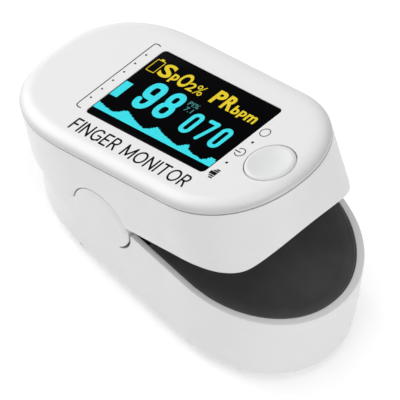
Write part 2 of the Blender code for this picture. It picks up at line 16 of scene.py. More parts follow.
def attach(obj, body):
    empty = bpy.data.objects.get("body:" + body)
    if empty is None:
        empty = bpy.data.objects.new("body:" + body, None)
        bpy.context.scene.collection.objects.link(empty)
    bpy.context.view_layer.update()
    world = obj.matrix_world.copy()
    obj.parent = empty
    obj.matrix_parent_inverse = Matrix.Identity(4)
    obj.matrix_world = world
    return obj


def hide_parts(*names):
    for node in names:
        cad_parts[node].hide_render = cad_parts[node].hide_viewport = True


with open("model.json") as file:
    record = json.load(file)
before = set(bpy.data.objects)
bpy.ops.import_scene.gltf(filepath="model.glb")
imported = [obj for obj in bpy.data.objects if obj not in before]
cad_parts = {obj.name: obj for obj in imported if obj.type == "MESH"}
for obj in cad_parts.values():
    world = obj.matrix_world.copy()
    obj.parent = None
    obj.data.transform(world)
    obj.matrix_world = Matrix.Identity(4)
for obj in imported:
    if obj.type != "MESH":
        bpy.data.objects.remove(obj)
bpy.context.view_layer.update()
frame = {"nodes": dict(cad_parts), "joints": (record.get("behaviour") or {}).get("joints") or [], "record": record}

MM = 0.001
NODES = frame["nodes"]


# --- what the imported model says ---

def points_of(node):
    return [vertex.co / MM for vertex in NODES[node].data.vertices]


def box_of(points):
    low = Vector(min(p[axis] for p in points) for axis in range(3))
    high = Vector(max(p[axis] for p in points) for axis in range(3))
    return low, high


def open_angle():
    """The tilt of the upper half, from the face of its window."""
    face = max(NODES["display_lens"].data.polygons, key=lambda polygon: polygon.area * polygon.normal.z)
    return math.atan2(-face.normal.x, face.normal.z)


JOINTS = {joint["name"]: joint for joint in frame["joints"]}
HINGE = Vector(JOINTS["jaw_hinge"]["pos_m"]) / MM
OPENING = (
    Matrix.Translation(HINGE)
    @ Matrix.Rotation(-open_angle(), 4, "Y")
    @ Matrix.Translation(-HINGE)
)
SHUTTING = OPENING.inverted()


def rest_box(node):
    return box_of(points_of(node))


def shut_box(node):
    return box_of([SHUTTING @ point for point in points_of(node)])


UP_LOW, UP_HIGH = shut_box("upper_shell")
TOP_LOW, TOP_HIGH = shut_box("top_face_plate")
LOW_LOW, LOW_HIGH = rest_box("lower_shell")
LENS_LOW, LENS_HIGH = shut_box("display_lens")
KEY_LOW, KEY_HIGH = shut_box("power_button")
PAD_LOW, PAD_HIGH = rest_box("lower_finger_pad")
TOP_PAD_LOW, TOP_PAD_HIGH = shut_box("upper_finger_pad")
DOOR_LOW, DOOR_HIGH = rest_box("battery_door")

# Radius of the holes in the finger pads for the emitter's and the detector's windows.
WINDOW_HOLE = 2.75


# --- outlines seen from above ---

EAR_RISE = 0.30
SHOULDER_HALF = TOP_HIGH.y
UPPER = {
    "rear": TOP_LOW.x, "front": TOP_HIGH.x, "half": SHOULDER_HALF,
    "rear_cap": (20.75, 2.54), "front_cap": (15.5, 2.15),
}
LOWER = {
    "rear": LOW_LOW.x, "front": LOW_HIGH.x, "half": LOW_HIGH.y - EAR_RISE,
    "rear_cap": (21.0, 2.5), "front_cap": (19.5, 2.07),
}
ENDS = (("front", 1), ("rear", -1))
# Distances between the points of an outline, and the points of each cap's first trace.
SPACING, LEAST_SPACING, DENSE = 0.42, 0.03, 3000

# Hinge ear of the lower shell: a disc whose edge rises between two distances inside it, and the
# room for it in the upper shell. Outline points over it stay just inside it.
EAR_X, EAR_Z, EAR_RADIUS = HINGE.x - 3.5, HINGE.z + 0.3, 6.45
EAR_ROOM, EAR_SOFT, EAR_STEPS, EAR_WITHIN = 0.14, (-0.05, 0.55), 60, 0.001


def cap_over(form, x):
    """The end cap that x is in, as (sign, share of its depth, depth, exponent), or None."""
    for end, sign in ENDS:
        depth, exponent = form[end + "_cap"]
        past = (x - (form[end] - sign * depth)) * sign
        if past > 0:
            return sign, past / depth, depth, exponent
    return None


def side_of(form, x):
    """Half width of the outline at x."""
    cap = cap_over(form, x)
    if not cap:
        return form["half"]
    _, share, _, exponent = cap
    return form["half"] * max(0.0, 1 - share ** exponent) ** (1 / exponent)


def outward(form, x, y):
    """Unit normal of the outline at (x, y)."""
    cap = cap_over(form, x)
    if not cap:
        return 0.0, math.copysign(1.0, y)
    sign, share, depth, exponent = cap
    across = sign * share ** (exponent - 1) / depth
    along = (abs(y) / form["half"]) ** (exponent - 1) / form["half"]
    size = math.hypot(across, along)
    return across / size, math.copysign(along / size, y)


def far_side(form, extra):
    """Evenly spaced points from the front tip to the rear tip on the +Y side, with some extra x."""
    path = []
    quarter = np.linspace(0.0, math.pi / 2, DENSE)
    for end, sign in ENDS:
        depth, exponent = form[end + "_cap"]
        x = form[end] - sign * depth + sign * depth * np.cos(quarter) ** (2 / exponent)
        y = form["half"] * np.sin(quarter) ** (2 / exponent)
        cap = np.stack([x, y], axis=1)
        path.append(cap if sign > 0 else cap[::-1])
    path = np.concatenate(path)
    steps = np.linalg.norm(np.diff(path, axis=0), axis=1)
    run = np.concatenate([[0.0], np.cumsum(steps)])
    wanted = np.linspace(0.0, run[-1], int(run[-1] / SPACING) + 1)
    made = [(np.interp(s, run, path[:, 0]), np.interp(s, run, path[:, 1])) for s in wanted]
    made += [(x, side_of(form, x)) for x in extra]
    made.sort(key=lambda point: -point[0])
    kept = made[:1]
    for point in made[1:-1]:
        if math.dist(point, kept[-1]) > LEAST_SPACING:
            kept.append(point)
    return kept + made[-1:]


def stations(form, extra=()):
    """Arrays x, y, nx, ny all round the outline."""
    far = far_side(form, extra)
    loop = far + [(x, -y) for x, y in far[-2:0:-1]]
    normals = [outward(form, x, y) for x, y in loop]
    return np.array([(x, y, nx, ny) for (x, y), (nx, ny) in zip(loop, normals)])


def ring(form, at, inset, z, squeeze=0.0):
    """One ring of points: set in along the normal, its rear end pulled forward by squeeze."""
    depth = form["rear_cap"][0]
    centre = form["rear"] + depth
    inset = np.broadcast_to(inset, at[:, 0].shape)
    x = at[:, 0] - inset * at[:, 2]
    y = at[:, 1] - inset * at[:, 3]
    x = np.where(x < centre, centre + (x - centre) * (1 - squeeze / depth), x)
    return np.stack([x, y, np.broadcast_to(z, x.shape)], axis=1)


def rings_of(form, at, levels):
    """Rings from (inset, z) or (inset, z, squeeze)."""
    return [ring(form, at, *level) for level in levels]


def smooth_step(value, low, high):
    share = np.clip((value - low) / (high - low), 0.0, 1.0)
    return share * share * (3 - 2 * share)


# --- meshes ---

# Edges over these angles stay sharp: in a plain mesh, and in one that was cut.
SHARP_PLAIN, SHARP_CUT = 35.0, 32.0


def quarter_turns(steps, first=0):
    """Angles from 0 to a right angle in even steps, from the step numbered first."""
    return [math.pi / 2 * step / steps for step in range(first, steps + 1)]


def mesh_of_rings(rings, closed=False):
    """Quads between rings of equal length; the ends are capped, or joined to each other."""
    count = len(rings[0])
    points = [tuple(point) for one in rings for point in one]
    faces = []
    spans = len(rings) if closed else len(rings) - 1
    for row in range(spans):
        low, high = row * count, (row + 1) % len(rings) * count
        for index in range(count):
            after = (index + 1) % count
            faces.append((low + index, low + after, high + after, high + index))
    if not closed:
        faces.append(tuple(range(count)))
        last = (len(rings) - 1) * count
        faces.append(tuple(range(last, last + count)))
    return points, faces


def put(name, data):
    made = bpy.data.objects.new(name, data)
    bpy.context.scene.collection.objects.link(made)
    return made


def solid(name, points, faces, upper=False):
    """A closed mesh in metres, faces pointing out; upper turns it to where the jaw rests."""
    mesh = bpy.data.meshes.new(name)
    mesh.from_pydata([tuple(point) for point in points], [], faces)
    made = bmesh.new()
    made.from_mesh(mesh)
    bmesh.ops.remove_doubles(made, verts=made.verts, dist=1e-4)
    bmesh.ops.recalc_face_normals(made, faces=made.faces)
    if upper:
        made.transform(OPENING)
    made.transform(Matrix.Scale(MM, 4))
    made.to_mesh(mesh)
    made.free()
    piece = put(name, mesh)
    mesh.shade_smooth()
    mesh.set_sharp_from_angle(angle=math.radians(SHARP_PLAIN))
    return piece


def flat_prism(outline, low, high, axis="z"):
    """An outline pushed along an axis: (x, y) along z, or (x, z) along y."""

    def placed(a, b, along):
        return {"z": (a, b, along), "y": (a, along, b)}[axis]
    return mesh_of_rings([[placed(a, b, along) for a, b in outline] for along in (low, high)])


def block(low, high):
    corners = ((low[0], low[1]), (high[0], low[1]), (high[0], high[1]), (low[0], high[1]))
    return flat_prism(corners, low[2], high[2])


def circle(radius, centre, count, first=0.0, last=360.0, end=False):
    """Points round a circle or an arc, angles in degrees; end adds the last point."""
    steps = range(count + 1 if end else count)
    turns = [math.radians(first + (last - first) * step / count) for step in steps]
    return [(centre[0] + radius * math.cos(turn), centre[1] + radius * math.sin(turn)) for turn in turns]


def rounded_box(low, high, radius, steps=8):
    """Outline of a rectangle with round corners."""
    made = []
    corners = (
        (high[0] - radius, high[1] - radius, 0), (low[0] + radius, high[1] - radius, 90),
        (low[0] + radius, low[1] + radius, 180), (high[0] - radius, low[1] + radius, 270),
    )
    for x, y, first in corners:
        made += circle(radius, (x, y), steps, first, first + 90, end=True)
    return made


def turned(profile, centre, sides=96):
    """A solid of revolution about Z from (radius, height) pairs."""
    return mesh_of_rings(
        [[(x, y, height) for x, y in circle(radius, centre, sides)] for radius, height in profile]
    )


def carve(piece, shapes, upper, operation="DIFFERENCE"):
    """Cuts shapes out of the piece, or keeps what is inside them, and bakes the result."""
    tools = [solid(f"tool_{index}", *shape, upper=upper) for index, shape in enumerate(shapes)]
    for tool in tools:
        step = piece.modifiers.new(tool.name, "BOOLEAN")
        step.operation = operation
        step.solver = "EXACT"
        step.object = tool
    graph = bpy.context.evaluated_depsgraph_get()
    mesh = bpy.data.meshes.new_from_object(piece.evaluated_get(graph))
    piece.modifiers.clear()
    old = piece.data
    piece.data = mesh
    bpy.data.meshes.remove(old)
    for tool in tools:
        bpy.data.objects.remove(tool, do_unlink=True)
    mesh.shade_smooth()
    mesh.set_sharp_from_angle(angle=math.radians(SHARP_CUT))


def skin(name, body, slot, shape, node=None, cuts=(), keep=None, material=None):
    """A visible piece: kept within one shape, cut by others, attached to its body, and hiding the node it stands
    in for.
    Its material is the slot's, or another."""
    upper = body in ("upper_half", "power_button")
    piece = solid(name, *shape, upper=upper)
    if keep:
        carve(piece, [keep], upper, "INTERSECT")
    if cuts:
        carve(piece, cuts, upper)
    piece.data.materials.clear()
    piece.data.materials.append(material or SHADES[slot])
    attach(piece, body)
    if node:
        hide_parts(node)


# --- materials ---

class Shader:
    """A Principled material whose textures run in millimetres."""

    def __init__(self, name, colour, roughness, metallic=0.0):
        self.material = bpy.data.materials.new(name)
        self.material.use_nodes = True
        self.nodes = self.material.node_tree.nodes
        self.links = self.material.node_tree.links
        self.shader = self.nodes["Principled BSDF"]
        self.set(Base_Color=(*colour, 1.0), Roughness=roughness, Metallic=metallic)
        scale = self.node("Mapping", Scale=(1 / MM, 1 / MM, 1 / MM))
        self.links.new(self.node("TexCoord").outputs["Object"], scale.inputs["Vector"])
        self.place = scale.outputs["Vector"]

    def node(self, kind, **values):
        made = self.nodes.new("ShaderNode" + kind)
        for name, value in values.items():
            made.inputs[name.replace("_", " ")].default_value = value
        return made

    def texture(self, kind, **values):
        made = self.node(kind, **values)
        self.links.new(self.place, made.inputs["Vector"])
        return made

    def set(self, **values):
        for name, value in values.items():
            self.shader.inputs[name.replace("_", " ")].default_value = value
        return self

    def noise(self, scale, detail=3.0, stretch=None):
        made = self.texture("TexNoise", Scale=scale, Detail=detail)
        if stretch:
            longer = self.texture("Mapping", Scale=stretch)
            self.links.new(longer.outputs["Vector"], made.inputs["Vector"])
        return made.outputs["Fac"]

    def ramp(self, value, *stops):
        made = self.node("ValToRGB")
        marks = made.color_ramp.elements
        while len(marks) < len(stops):
            marks.new(0.5)
        for mark, (place, colour) in zip(marks, stops):
            mark.position = place
            mark.color = (*colour, 1.0)
        self.links.new(value, made.inputs["Fac"])
        return made.outputs["Color"]

    def remap(self, value, **limits):
        made = self.node("MapRange", **limits)
        self.links.new(value, made.inputs["Value"])
        return made.outputs["Result"]

    def between(self, value, low, high):
        return self.remap(value, From_Min=0.1, From_Max=0.9, To_Min=low, To_Max=high)

    def colour(self, source):
        self.links.new(source, self.shader.inputs["Base Color"])
        return self

    def roughness(self, source):
        self.links.new(source, self.shader.inputs["Roughness"])
        return self

    def bump(self, height, strength, depth):
        made = self.node("Bump", Strength=strength, Distance=depth * MM)
        self.links.new(height, made.inputs["Height"])
        self.links.new(made.outputs["Normal"], self.shader.inputs["Normal"])
        return self


def tint(colour, factor):
    return tuple(min(1.0, channel * factor) for channel in colour)


def moulded(name, colour, roughness, grain=9.0, depth=0.004, spread=0.012, change=0.05):
    """Injection-moulded plastic: a faint orange peel and slightly uneven colour and gloss."""
    made = Shader(name, colour, roughness)
    cloudy = made.noise(0.18, 2.0)
    made.colour(made.ramp(cloudy, (0.3, tint(colour, 1 - spread)), (0.7, tint(colour, 1 + spread))))
    made.roughness(made.between(made.noise(0.5, 4.0), roughness - change, roughness + change))
    made.bump(made.noise(grain, 3.0), 0.35, depth)
    return made


# Mouldings as colour, roughness, what differs in their surface, and shader values.
INK_SURFACE, INK_GLOSS = {"grain": 20.0, "depth": 0.002}, {"Specular_IOR_Level": 0.05}
MOULDED = {
    "moulded_white": ((0.695, 0.695, 0.697), 0.34, {}, {"Specular_IOR_Level": 0.35}),
    "button_white": ((0.73, 0.735, 0.735), 0.38, {"grain": 6.0}, {"Specular_IOR_Level": 0.2}),
    "moulded_grey": ((0.42, 0.42, 0.43), 0.5, {"grain": 14.0, "depth": 0.01}, {}),
    "soft_rubber": (
        (0.075, 0.075, 0.076), 0.62, {"grain": 16.0, "depth": 0.012, "spread": 0.12},
        {"Specular_IOR_Level": 0.3, "Sheen_Weight": 0.06, "Sheen_Roughness": 0.5},
    ),
    "black_foam": ((0.03, 0.03, 0.03), 0.92, {"grain": 22.0, "depth": 0.05, "spread": 0.2}, {}),
    "panel_black": ((0.006, 0.006, 0.010), 0.12, {"grain": 6.0, "depth": 0.001}, {}),
    "moulded_chip": ((0.018, 0.018, 0.019), 0.48, {"grain": 18.0, "depth": 0.008}, {}),
    "printed_ink": ((0.004, 0.004, 0.004), 0.5, INK_SURFACE, INK_GLOSS),
    "grey_ink": ((0.012, 0.012, 0.012), 0.5, INK_SURFACE, INK_GLOSS),
}


def plain(name):
    colour, roughness, surface, values = MOULDED[name]
    return moulded(name, colour, roughness, **surface).set(**values).material


# The shoulder's grey is painted shade, darker where the face rolls away from the light.
FACE_WHITE, FACE_SHADE_GREY = 0.795, 0.54
# Depths under the flat at which the painted shade of the shoulder and the white are full.
PAINTED_SHADE_DEPTH, FLAT_DEPTH = 1.1, 0.05


def face_white():
    """The top face: white on the flat, with painted shade greying it where it rolls over into the shoulder."""
    made = moulded("polished_white_painted_shade", (FACE_WHITE,) * 3, 0.3, grain=3.0, depth=0.002, change=0.015)
    out = OPENING.to_3x3() @ Vector((0.0, 0.0, 1.0))
    height = made.node("VectorMath")
    height.operation = "DOT_PRODUCT"
    height.inputs[1].default_value = out
    made.links.new(made.place, height.inputs[0])
    level = (OPENING @ TOP_HIGH).dot(out)
    share = made.remap(height.outputs["Value"], From_Min=level - PAINTED_SHADE_DEPTH, From_Max=level - FLAT_DEPTH)
    # Painted shade: the ramp runs from the shoulder's grey up to the white of the flat.
    edge, flat = (FACE_SHADE_GREY,) * 3, (FACE_WHITE,) * 3
    made.colour(made.ramp(share, (0.0, edge), (0.75, tint(flat, 0.95)), (1.0, flat)))
    return made.set(Specular_IOR_Level=0.4).material


def window_black():
    made = Shader("window_black", (0.002, 0.002, 0.0025), 0.05)
    made.roughness(made.between(made.noise(0.35, 5.0), 0.04, 0.09))
    return made.set(Specular_IOR_Level=0.005).material


def glowing(name, colour, other, strength):
    """Lit cells of the display: small squares of two colours with a dark grid between them."""
    made = Shader(name, tint(colour, 0.05), 0.1)
    cells = made.texture(
        "TexBrick", Scale=6.0, Mortar_Size=0.03, Brick_Width=1.0, Row_Height=1.0,
        Color1=(*colour, 1.0), Color2=(*other, 1.0), Mortar=(*tint(colour, 0.45), 1.0),
    )
    cells.offset = 0.0
    made.links.new(cells.outputs["Color"], made.shader.inputs["Emission Color"])
    return made.set(Emission_Strength=strength).material


STEEL_ROUGHNESS = 0.28


def bright_steel():
    """Drawn steel: fine streaks along it."""
    made = Shader("bright_steel", (0.62, 0.62, 0.63), STEEL_ROUGHNESS, 1.0)
    drawn = made.noise(6.0, 2.0, stretch=(0.15, 1.0, 1.0))
    made.roughness(made.between(drawn, STEEL_ROUGHNESS - 0.08, STEEL_ROUGHNESS + 0.1))
    return made.bump(drawn, 0.2, 0.004).material


def circuit_board():
    """Solder resist with copper tracks showing through it."""
    made = Shader("circuit_board", (0.01, 0.12, 0.05), 0.35)
    tracks = made.texture(
        "TexBrick", Scale=1.1, Mortar_Size=0.06, Color1=(0.008, 0.10, 0.04, 1.0),
        Color2=(0.012, 0.13, 0.05, 1.0), Mortar=(0.03, 0.22, 0.08, 1.0),
    )
    made.colour(tracks.outputs["Color"])
    return made.bump(tracks.outputs["Fac"], 0.3, 0.03).material


def flex_film():
    """Dark film with its copper lines just showing through it."""
    made = Shader("flex_film", (0.045, 0.035, 0.028), 0.34)
    lines = made.texture("TexWave", Scale=0.5)
    lines.bands_direction = "Y"
    copper, film = (0.055, 0.042, 0.032), (0.035, 0.03, 0.026)
    made.colour(made.ramp(lines.outputs["Fac"], (0.35, copper), (0.6, film)))
    return made.bump(lines.outputs["Fac"], 0.3, 0.02).material


JACKET_REAR, JACKET_FRONT = -25.0, 30.0
JACKET_GREY, JACKET_BLUE, JACKET_COPPER = (0.55, 0.55, 0.56), (0.03, 0.06, 0.13), (0.62, 0.33, 0.08)


def cell_jacket():
    """A plain battery jacket: grey at the rear, a dark body and a copper band at the front."""
    made = Shader("cell_jacket", (0.05, 0.06, 0.1), 0.3, 0.4)
    split = made.texture("SeparateXYZ")
    share = made.remap(split.outputs["X"], From_Min=JACKET_REAR, From_Max=JACKET_FRONT)
    made.colour(made.ramp(
        share, (0.0, JACKET_GREY), (0.13, JACKET_GREY), (0.14, JACKET_BLUE), (0.70, JACKET_BLUE),
        (0.71, JACKET_COPPER),
    ))
    return made.bump(made.noise(1.2, 2.0), 0.1, 0.02).material


def clear_moulding():
    made = Shader("clear_moulding", (0.80, 0.84, 0.88), 0.08)
    made.roughness(made.between(made.noise(1.5, 3.0), 0.05, 0.12))
    return made.set(Transmission_Weight=0.7, IOR=1.5).material


# --- lower half ---

RIM_Z = PAD_HIGH.z + 0.15
# The flat of the floor is set in, and curves up into a wall that leans out up to STRAIGHT_Z.
FLOOR_INSET, FLOOR_CURVE, FLOOR_DRAFT = 3.6, 3.4, 0.25
STRAIGHT_Z, REAR_SQUEEZE = 9.5, 2.1
# Width of the rim, and how much it gains between two x round the front.
WALL, THICKER, THICKER_FROM, THICKER_TO = 1.02, 0.26, 18.0, 31.0
RIM_ROUND, INNER_ROUND = 0.12, 0.1
LOWER_RISES = 16
# Inner rings under the rim as (inset past WALL, z, squeeze).
INNER_RINGS = ((0.35, FLOOR_CURVE, 1.3), (1.85, 1.5, 2.0))
# Slope behind the ear as two (x, z), and a height below any part of the shell.
REAR_LINE = ((-6.73, 16.38), (-39.25, 3.37))
NOWHERE = -99.0
# Relief slot beside the ear as (x, z) and widths, and a nick in the rear of the wall.
SLOT_PATH = ((0.9, 18.2), (1.25, 16.6), (1.25, 15.4), (0.85, 14.1), (0.15, 13.0), (-0.65, 12.2))
SLOT_WIDTHS = (0.42, 0.42, 0.36, 0.5, 0.4, 0.15)
SLOT_STEPS, SLOT_SIDES = 5, (13.4, 17.5)
NICK_AT, NICK_RADIUS, NICK_SIDES = (-8.95, 2.4), 0.8, (14.9, 18.0)
# Room round the door at its rear, its sides and over it; the cell bay; the bore for the pin.
DOOR_ROOM = (0.25, 0.2, 0.15)
BELOW, PAST_FRONT = -1.0, 40.0
BAY_REAR, BAY_FRONT, BAY_HALF, BAY_TOP = -18.25, 21.75, 10.6, 3.0
BORE_RADIUS, BORE_HALF = 0.95, 15.4


def line_height(line, x):
    (x0, z0), (x1, z1) = line
    return z0 + (x - x0) * (z1 - z0) / (x1 - x0)


def disc_top(x, centre, radius):
    """Height of a disc's edge over x, or far below where the disc isn't."""
    inside = radius * radius - (x - centre[0]) ** 2
    return np.where(inside > 0, centre[1] + np.sqrt(np.maximum(inside, 0.0)), NOWHERE)


def lower_top(x):
    """Height of the lower shell's edge: rim, ear and the slope behind the ear."""
    slope = np.where(x < REAR_LINE[0][0], line_height(REAR_LINE, x), RIM_Z)
    back = np.where(x < EAR_X, slope, RIM_Z)
    return np.maximum(back, disc_top(x, (EAR_X, EAR_Z), EAR_RADIUS))


def ear_proud(x, z):
    """How far the ear stands out of the wall: more at its top, with a soft edge."""
    inside = EAR_RADIUS - np.hypot(x - EAR_X, z - EAR_Z)
    rise = np.clip((z - EAR_Z + EAR_RADIUS) / (2 * EAR_RADIUS), 0.0, 1.0)
    return EAR_RISE * rise * smooth_step(inside, *EAR_SOFT)


def lower_wall(at, z):
    """Inset and squeeze of the outer wall at height z."""
    draft = FLOOR_DRAFT * np.clip((STRAIGHT_Z - z) / (STRAIGHT_Z - FLOOR_CURVE), 0.0, 1.0)
    squeeze = REAR_SQUEEZE * np.clip(1 - z / STRAIGHT_Z, 0.0, 1.0)
    return draft - ear_proud(at[:, 0], z), squeeze


def wall_at(x):
    """Width of the rim at x."""
    return WALL + THICKER * smooth_step(x, THICKER_FROM, THICKER_TO)


def over_disc(centre, radius):
    """The x of points along the upper half of a disc's edge."""
    return [x for x, _ in circle(radius - EAR_WITHIN, centre, EAR_STEPS, 0, 180, end=True)]


def lower_shell():
    """The shell in rings: floor, curve, wall with the ears, rim, and the inside of the wall."""
    at = stations(LOWER, over_disc((EAR_X, EAR_Z), EAR_RADIUS))
    top = lower_top(at[:, 0])
    levels = []
    for turn in quarter_turns(8):
        z = FLOOR_CURVE * (1 - math.cos(turn))
        inset = FLOOR_INSET - (FLOOR_INSET - FLOOR_DRAFT) * math.sin(turn)
        levels.append((inset, z, REAR_SQUEEZE * (1 - z / STRAIGHT_Z)))
    for step in range(1, LOWER_RISES + 1):
        z = FLOOR_CURVE + (top - RIM_ROUND - FLOOR_CURVE) * step / LOWER_RISES
        inset, squeeze = lower_wall(at, z)
        levels.append((inset, z, squeeze))
    proud, squeeze = lower_wall(at, top - RIM_ROUND)
    for turn in quarter_turns(5, 1):
        inset = proud + RIM_ROUND * (1 - math.cos(turn))
        levels.append((inset, top - RIM_ROUND * (1 - math.sin(turn)), squeeze))
    wall = wall_at(at[:, 0])
    for turn in quarter_turns(3):
        inset = wall - INNER_ROUND * (1 - math.sin(turn))
        levels.append((inset, top - INNER_ROUND * (1 - math.cos(turn)), squeeze))
    levels += [(WALL + inset, z, squeeze) for inset, z, squeeze in INNER_RINGS]
    shape = mesh_of_rings(rings_of(LOWER, at, levels))
    skin("lower_shell_skin", "lower_half", "white_shell", shape, "lower_shell", lower_cuts())


def strip(path, widths):
    """Outline of a strip along a path, as wide at each point as widths says."""
    left, right = [], []
    for index, (x, z) in enumerate(path):
        before, after = path[max(index - 1, 0)], path[min(index + 1, len(path) - 1)]
        length = math.dist(before, after)
        half = widths[index] / 2
        normal = (-(after[1] - before[1]) / length * half, (after[0] - before[0]) / length * half)
        left.append((x + normal[0], z + normal[1]))
        right.append((x - normal[0], z - normal[1]))
    return left + right[::-1]


def lower_cuts():
    """Cutters for the slots, the nicks, the door's seat, the cell bay and the pin."""
    slot = strip(smooth_path(SLOT_PATH, SLOT_STEPS), spread(SLOT_WIDTHS, SLOT_STEPS))
    nick = circle(NICK_RADIUS, NICK_AT, 32)
    cuts = [
        flat_prism(outline, *sorted(side * end for end in sides), "y")
        for side in (-1, 1) for outline, sides in ((slot, SLOT_SIDES), (nick, NICK_SIDES))
    ]
    rear, side, over = DOOR_ROOM
    half = DOOR_HIGH.y + side
    cuts.append(block((DOOR_LOW.x - rear, -half, BELOW), (PAST_FRONT, half, DOOR_HIGH.z + over)))
    cuts.append(block((BAY_REAR, -BAY_HALF, BELOW), (BAY_FRONT, BAY_HALF, BAY_TOP)))
    bore = circle(BORE_RADIUS, (HINGE.x, HINGE.z), 24)
    return cuts + [flat_prism(bore, -BORE_HALF, BORE_HALF, "y")]


def smooth_path(path, steps):
    """Catmull-Rom points through a path of 2-D points."""
    made = []
    for index in range(len(path) - 1):
        before = path[max(index - 1, 0)]
        after = path[min(index + 2, len(path) - 1)]
        p = [np.array(q) for q in (before, path[index], path[index + 1], after)]
        for step in range(steps):
            t = step / steps
            made.append(tuple(0.5 * (
                2 * p[1] + (p[2] - p[0]) * t + (2 * p[0] - 5 * p[1] + 4 * p[2] - p[3]) * t * t
                + (3 * p[1] - p[0] - 3 * p[2] + p[3]) * t ** 3
            )))
    return made + [tuple(path[-1])]


def spread(values, steps):
    """Values between the given ones, in step with smooth_path."""
    places = np.linspace(0, len(values) - 1, (len(values) - 1) * steps + 1)
    return [float(value) for value in np.interp(places, range(len(values)), values)]


# The door as rings of the shell's floor, (inset, z, squeeze), and the corners of its rear end.
DOOR_RINGS = ((3.6, 0.0, 2.1), (2.9, 0.08, 2.1), (2.3, 0.25, 2.0), (1.35, DOOR_HIGH.z, 1.9))
DOOR_CORNER, DOOR_PAST_FRONT, DOOR_SPAN = 0.6, 60.0, (-1, 2)
GRIPS, GRIP_FIRST, GRIP_STEP, GRIP_WIDTH, GRIP_HALF, GRIP_CORNER = 5, 3.4, 1.5, 0.7, 4.5, 0.3
GRIP_DEPTH, ARROW_DEPTH, CUT_FROM = 0.3, 0.2, -0.5
# An arrow that points the way the door slides.
ARROW_AT = 13.5
ARROW = ((3.2, 0), (0, 2.6), (0, 0.9), (-2.6, 0.9), (-2.6, -0.9), (0, -0.9), (0, -2.6))


def battery_door():
    """The sliding door: a slice of the floor with grip grooves and an arrow in it."""
    shape = mesh_of_rings(rings_of(LOWER, stations(LOWER), DOOR_RINGS))
    limit = rounded_box((DOOR_LOW.x, DOOR_LOW.y), (DOOR_PAST_FRONT, DOOR_HIGH.y), DOOR_CORNER)
    cuts = []
    for index in range(GRIPS):
        x = DOOR_LOW.x + GRIP_FIRST + GRIP_STEP * index
        groove = rounded_box((x, -GRIP_HALF), (x + GRIP_WIDTH, GRIP_HALF), GRIP_CORNER)
        cuts.append(flat_prism(groove, CUT_FROM, GRIP_DEPTH))
    arrow = [(DOOR_LOW.x + ARROW_AT + x, y) for x, y in ARROW]
    cuts.append(flat_prism(arrow, CUT_FROM, ARROW_DEPTH))
    keep = flat_prism(limit, *DOOR_SPAN)
    skin("battery_door_skin", "battery_door", "white_shell", shape, "battery_door", cuts, keep)


# The finger bed's lip, then its bowl as (inset past the lip's edge, z).
PAD_GAP, PAD_LIP, LIP_ROUND, LIP_STEPS = 0.06, 0.16, 0.25, 6
PAD_UNDERCUT, PAD_REAR_SLANT, THROUGH_BED = 0.35, 0.35, (10, 20)
PAD_BOWL = ((0.55, 17.2), (1.5, 16.75), (3.1, 15.9), (5.1, 15.25), (7.1, 14.95), (8.5, 14.9))


def lower_pad():
    """The finger bed: a lip inside the rim, then a smooth bowl."""
    at = stations(LOWER)
    edge = wall_at(at[:, 0]) + PAD_GAP
    low = PAD_HIGH.z - PAD_LIP
    profile = [(PAD_UNDERCUT, PAD_LOW.z), (0.0, low)]
    for step in range(1, LIP_STEPS):
        turn = math.pi * step / LIP_STEPS
        profile.append((LIP_ROUND * (1 - math.cos(turn)), low + PAD_LIP * math.sin(turn)))
    rings = []
    for inset, z in profile + smooth_path(PAD_BOWL, 5):
        one = ring(LOWER, at, edge + inset, z)
        one[:, 0] = np.maximum(one[:, 0], PAD_LOW.x + inset * PAD_REAR_SLANT)
        rings.append(one)
    shape, cuts = mesh_of_rings(rings), [window_hole("detector_window", THROUGH_BED)]
    skin("lower_finger_pad_skin", "lower_half", "black_rubber", shape, "lower_finger_pad", cuts)


def centre_of(node, shut=False):
    """Middle of a node seen from above, at rest or with the clip shut."""
    low, high = shut_box(node) if shut else rest_box(node)
    return ((low.x + high.x) / 2, (low.y + high.y) / 2)


def window_hole(node, span, shut=False):
    """Cutter through a finger pad, over a window."""
    return turned([(WINDOW_HOLE, height) for height in span], centre_of(node, shut), 64)


# --- upper half ---

BAND_HIGH = UP_HIGH.z
BAND_LOW = UP_LOW.z
BAND_FLARE = UP_HIGH.y - SHOULDER_HALF
BAND_EDGE = (
    (-6.0, 17.6), (13.0, 17.6), (15.0, 17.59), (16.75, 17.53), (18.75, 17.35), (20.45, 17.08),
    (22.25, 16.8), (24.25, 16.62), (26.25, BAND_LOW), (40.0, BAND_LOW),
)
UPPER_WALL, UPPER_BEVEL, UPPER_RISES = 1.5, 0.15, 12
BAND_ROUND, SEAM_ROUND, SEAM = 0.12, 0.05, 0.24
# Arches over the finger as (half width, height there, height in the middle).
BAND_ARCH, PAD_ARCH = (11.5, 16.6, 20.6), (12.3, 17.45, 20.3)
ARCH_FROM, ARCH_BLEND = 15.0, 0.5
REAR_EDGE = ((-5.25, 18.62), (-40.25, 19.96))
FACE_SHOULDER, FACE_SIDE, FACE_STEPS = 2.9, 0.2, 16
FACE_LIP, FACE_FLAT = 1.4, 0.15
# Heights that cutters through the face and the upper pad span, with the clip shut.
THROUGH_FACE, THROUGH_PAD = (20, 40), (15, 25)
LENS_GAP, LENS_HOLE_CORNER, BUTTON_GAP = 0.05, 0.85, 0.13
# The button sits a little off the middle of its hole. DISH_STEPS isn't whole, so that the last ring
# keeps a small radius.
BUTTON_RADIUS, BUTTON_SHIFT, BUTTON_SIDES = 4.3, (-0.08, 0.05), 128
BUTTON_EDGE, BUTTON_FLATTEN, BUTTON_FLAT, BUTTON_DISH = 0.62, 0.8, 0.1, 0.5
DISH_RINGS, DISH_STEPS = 13, 12.6
BUTTON_INSIDE, FLANGE_RADIUS, FLANGE_SIDE, FLANGE_TOP = 1.2, 4.55, 0.55, 0.6
